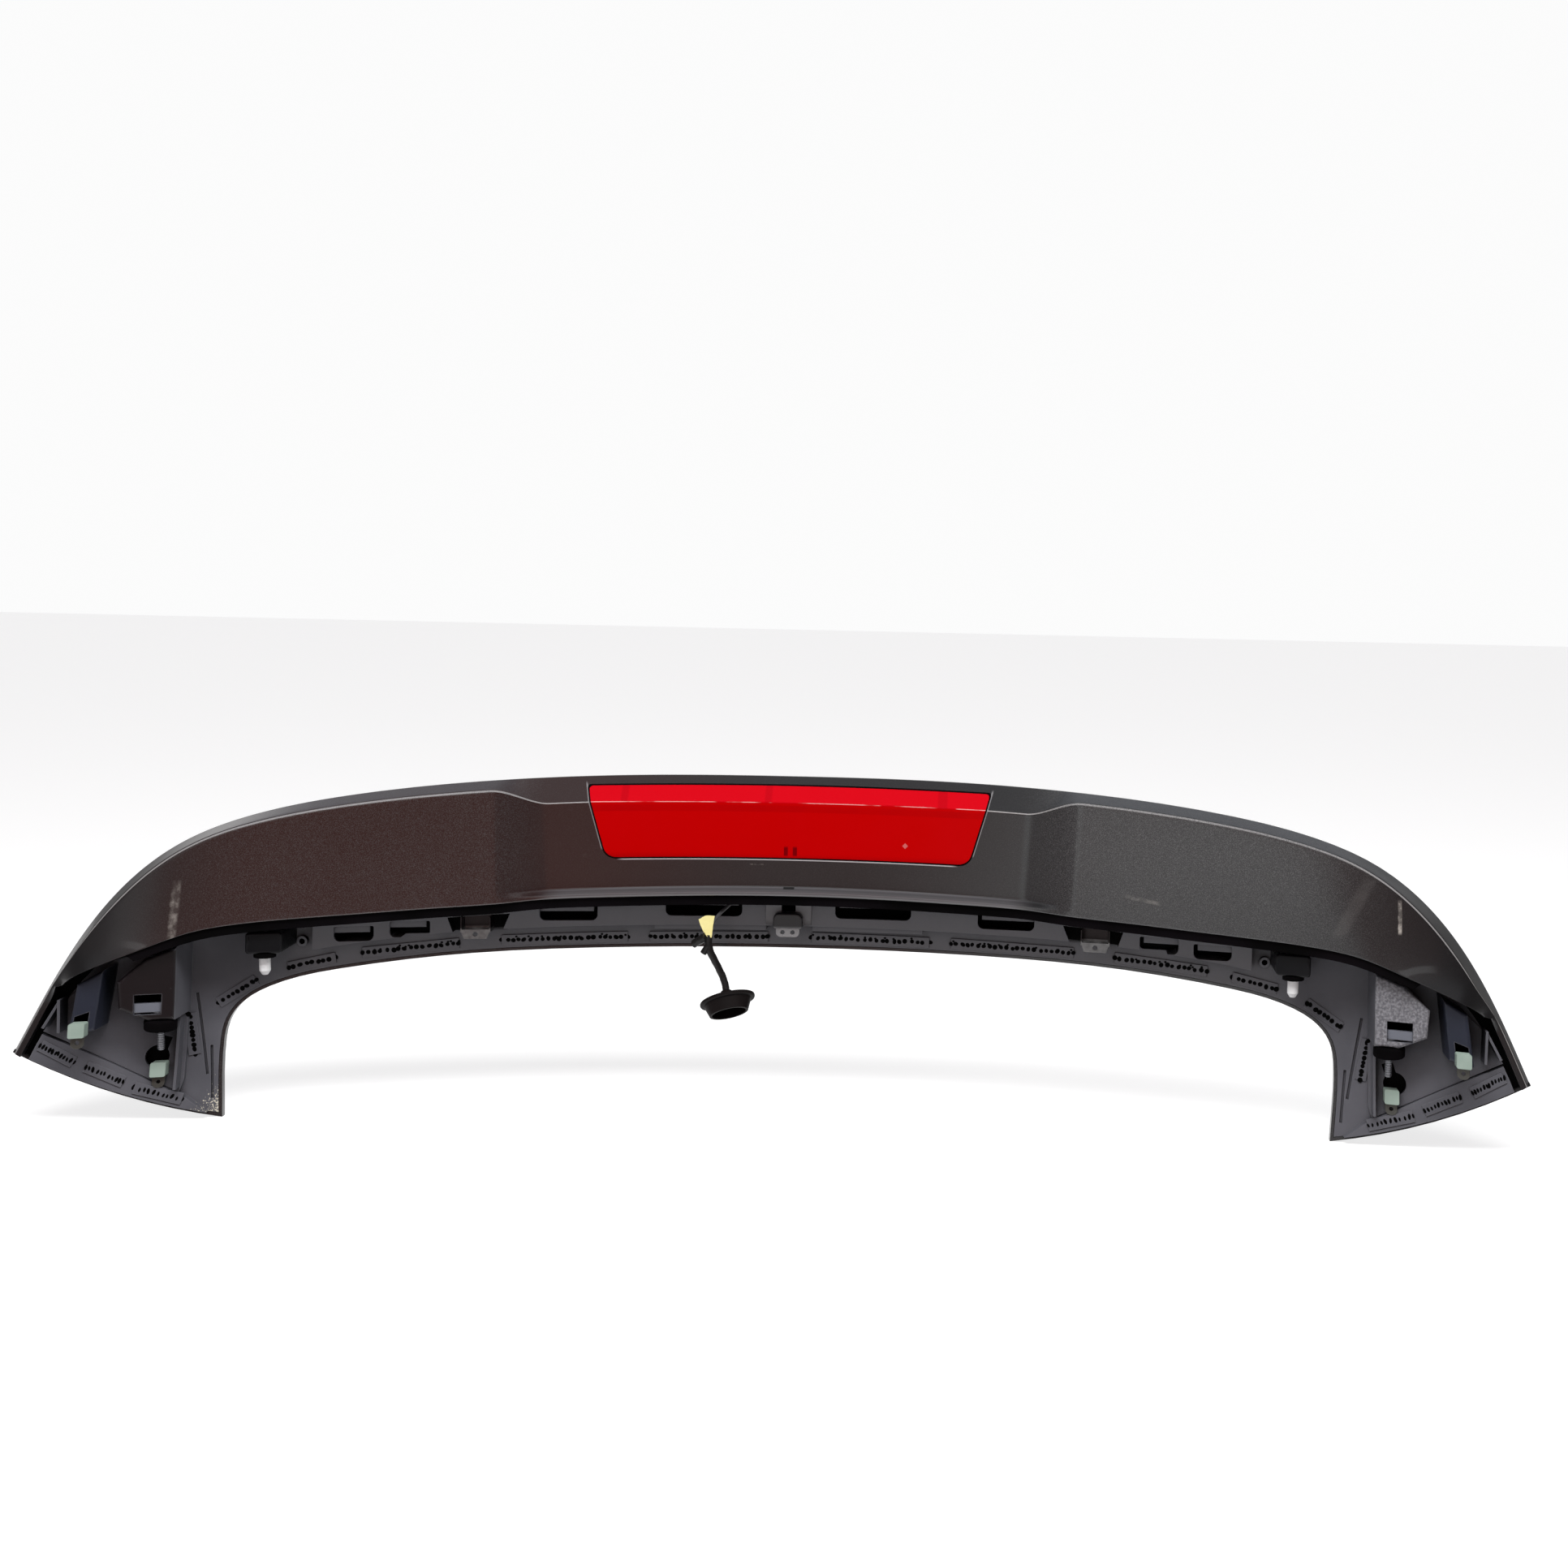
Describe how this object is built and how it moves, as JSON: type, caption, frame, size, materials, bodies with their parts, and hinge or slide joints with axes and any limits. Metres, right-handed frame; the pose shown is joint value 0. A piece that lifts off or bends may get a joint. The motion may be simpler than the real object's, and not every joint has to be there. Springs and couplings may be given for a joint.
{
  "type": "tailgate spoiler with brake lamp",
  "caption": "Horseshoe-shaped painted tailgate spoiler with a recessed high brake lamp, a moulded mounting carrier, mounting studs, locating pegs and a short wiring tail.",
  "frame": {"origin": "midway between the two mounting studs, on the plane of the lower faces of their rubber seals, which rest on the tailgate", "axes": "+X across the car to the right of someone facing the lamp, +Y from the lamp side to the painted outer skin, +Z from the leg ends to the trailing edge, against the direction the studs point"},
  "size_m": [1.231, 0.1655, 0.2822],
  "materials": {
    "paint": "dark grey metallic paint, clear coated, used",
    "carrier_plastic": "moulded dark blue-grey plastic with paint overspray",
    "holder_plastic": "black moulded plastic",
    "seal_rubber": "black rubber",
    "lens_red": "red lamp lens, smooth",
    "housing_plastic": "black plastic",
    "board": "circuit board",
    "diode": "light emitting diodes",
    "wire": "grey-black wire insulation",
    "sleeve_tape": "black cloth tape",
    "yellow_tape": "crumpled pale yellow tape",
    "steel": "zinc plated steel",
    "peg_white": "white nylon",
    "nut_green": "translucent pale green nylon"
  },
  "bodies": {
    "root": {"top_skin": "paint", "rear_panel": "paint", "carrier": "carrier_plastic", "edge_seal": "seal_rubber", "lamp_lens": "lens_red", "lamp_gasket": "seal_rubber", "lamp_housing": "housing_plastic", "lamp_board": "board", "lamp_diodes": "diode", "lamp_lead": "wire", "lead_sleeve": "sleeve_tape", "lead_tape": "yellow_tape", "grommet": "seal_rubber", "centre_clip": "carrier_plastic", "stud_left": "steel", "stud_seal_left": "seal_rubber", "peg_left": "peg_white", "peg_seal_left": "seal_rubber", "peg_holder_left": "holder_plastic", "nut_outer_left": "nut_green", "nut_inner_left": "nut_green", "spring_clip_left": "steel", "stud_right": "steel", "stud_seal_right": "seal_rubber", "peg_right": "peg_white", "peg_seal_right": "seal_rubber", "peg_holder_right": "holder_plastic", "nut_outer_right": "nut_green", "nut_inner_right": "nut_green", "spring_clip_right": "steel"}
  },
  "joints": []
}
